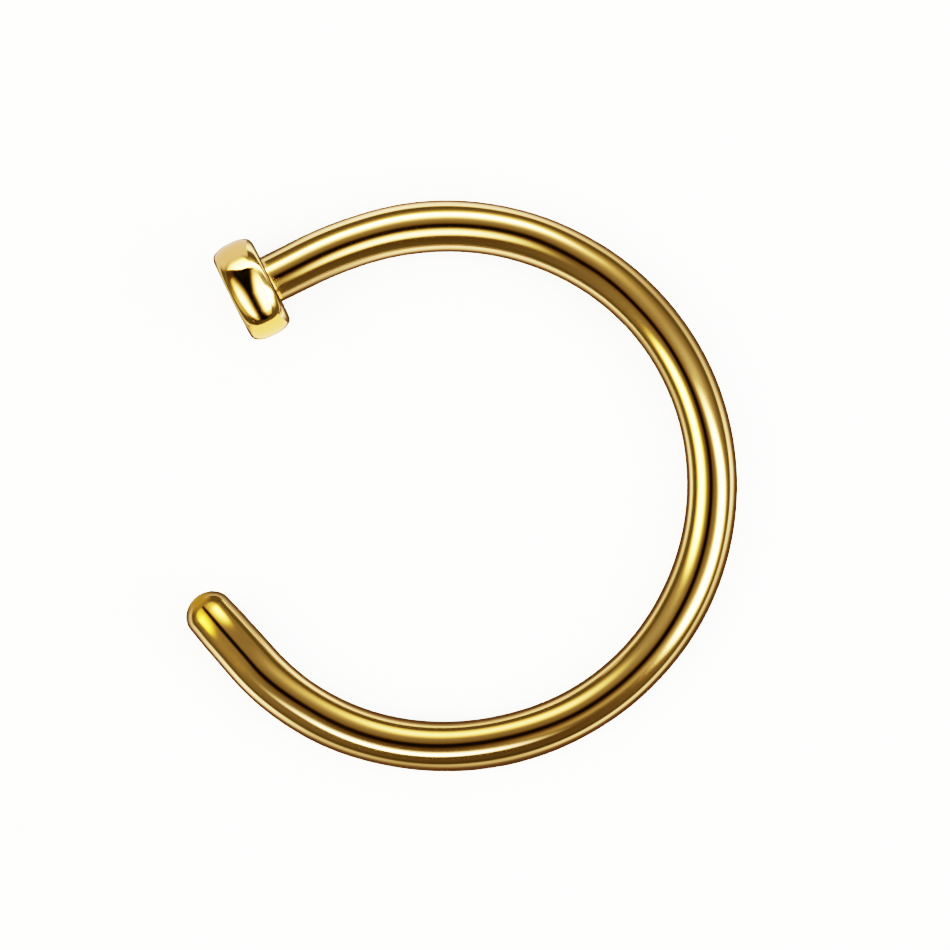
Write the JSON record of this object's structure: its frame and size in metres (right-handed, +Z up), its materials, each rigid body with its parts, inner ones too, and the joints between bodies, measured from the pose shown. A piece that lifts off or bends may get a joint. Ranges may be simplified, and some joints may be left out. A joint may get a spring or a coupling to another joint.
{
  "type": "nose ring",
  "caption": "Open nose hoop of polished gold-coloured wire, with a rounded free end and a flat round disc on the other end that keeps it in the nostril.",
  "frame": {"origin": "middle of the footprint's box, on the surface that the ring rests on, lying on its side on the disc's rim and on the wire across from it", "axes": "+Z up, nearly square to the hoop (the hoop leans 2.9 degrees, because the disc is wider than the wire); +Y along the hoop's longer way across; the gap between disc and free end faces -X"},
  "size_m": [0.0094, 0.0096, 0.0017],
  "materials": {
    "gold": "polished"
  },
  "bodies": {
    "root": {"nose_ring": "gold"}
  },
  "joints": []
}
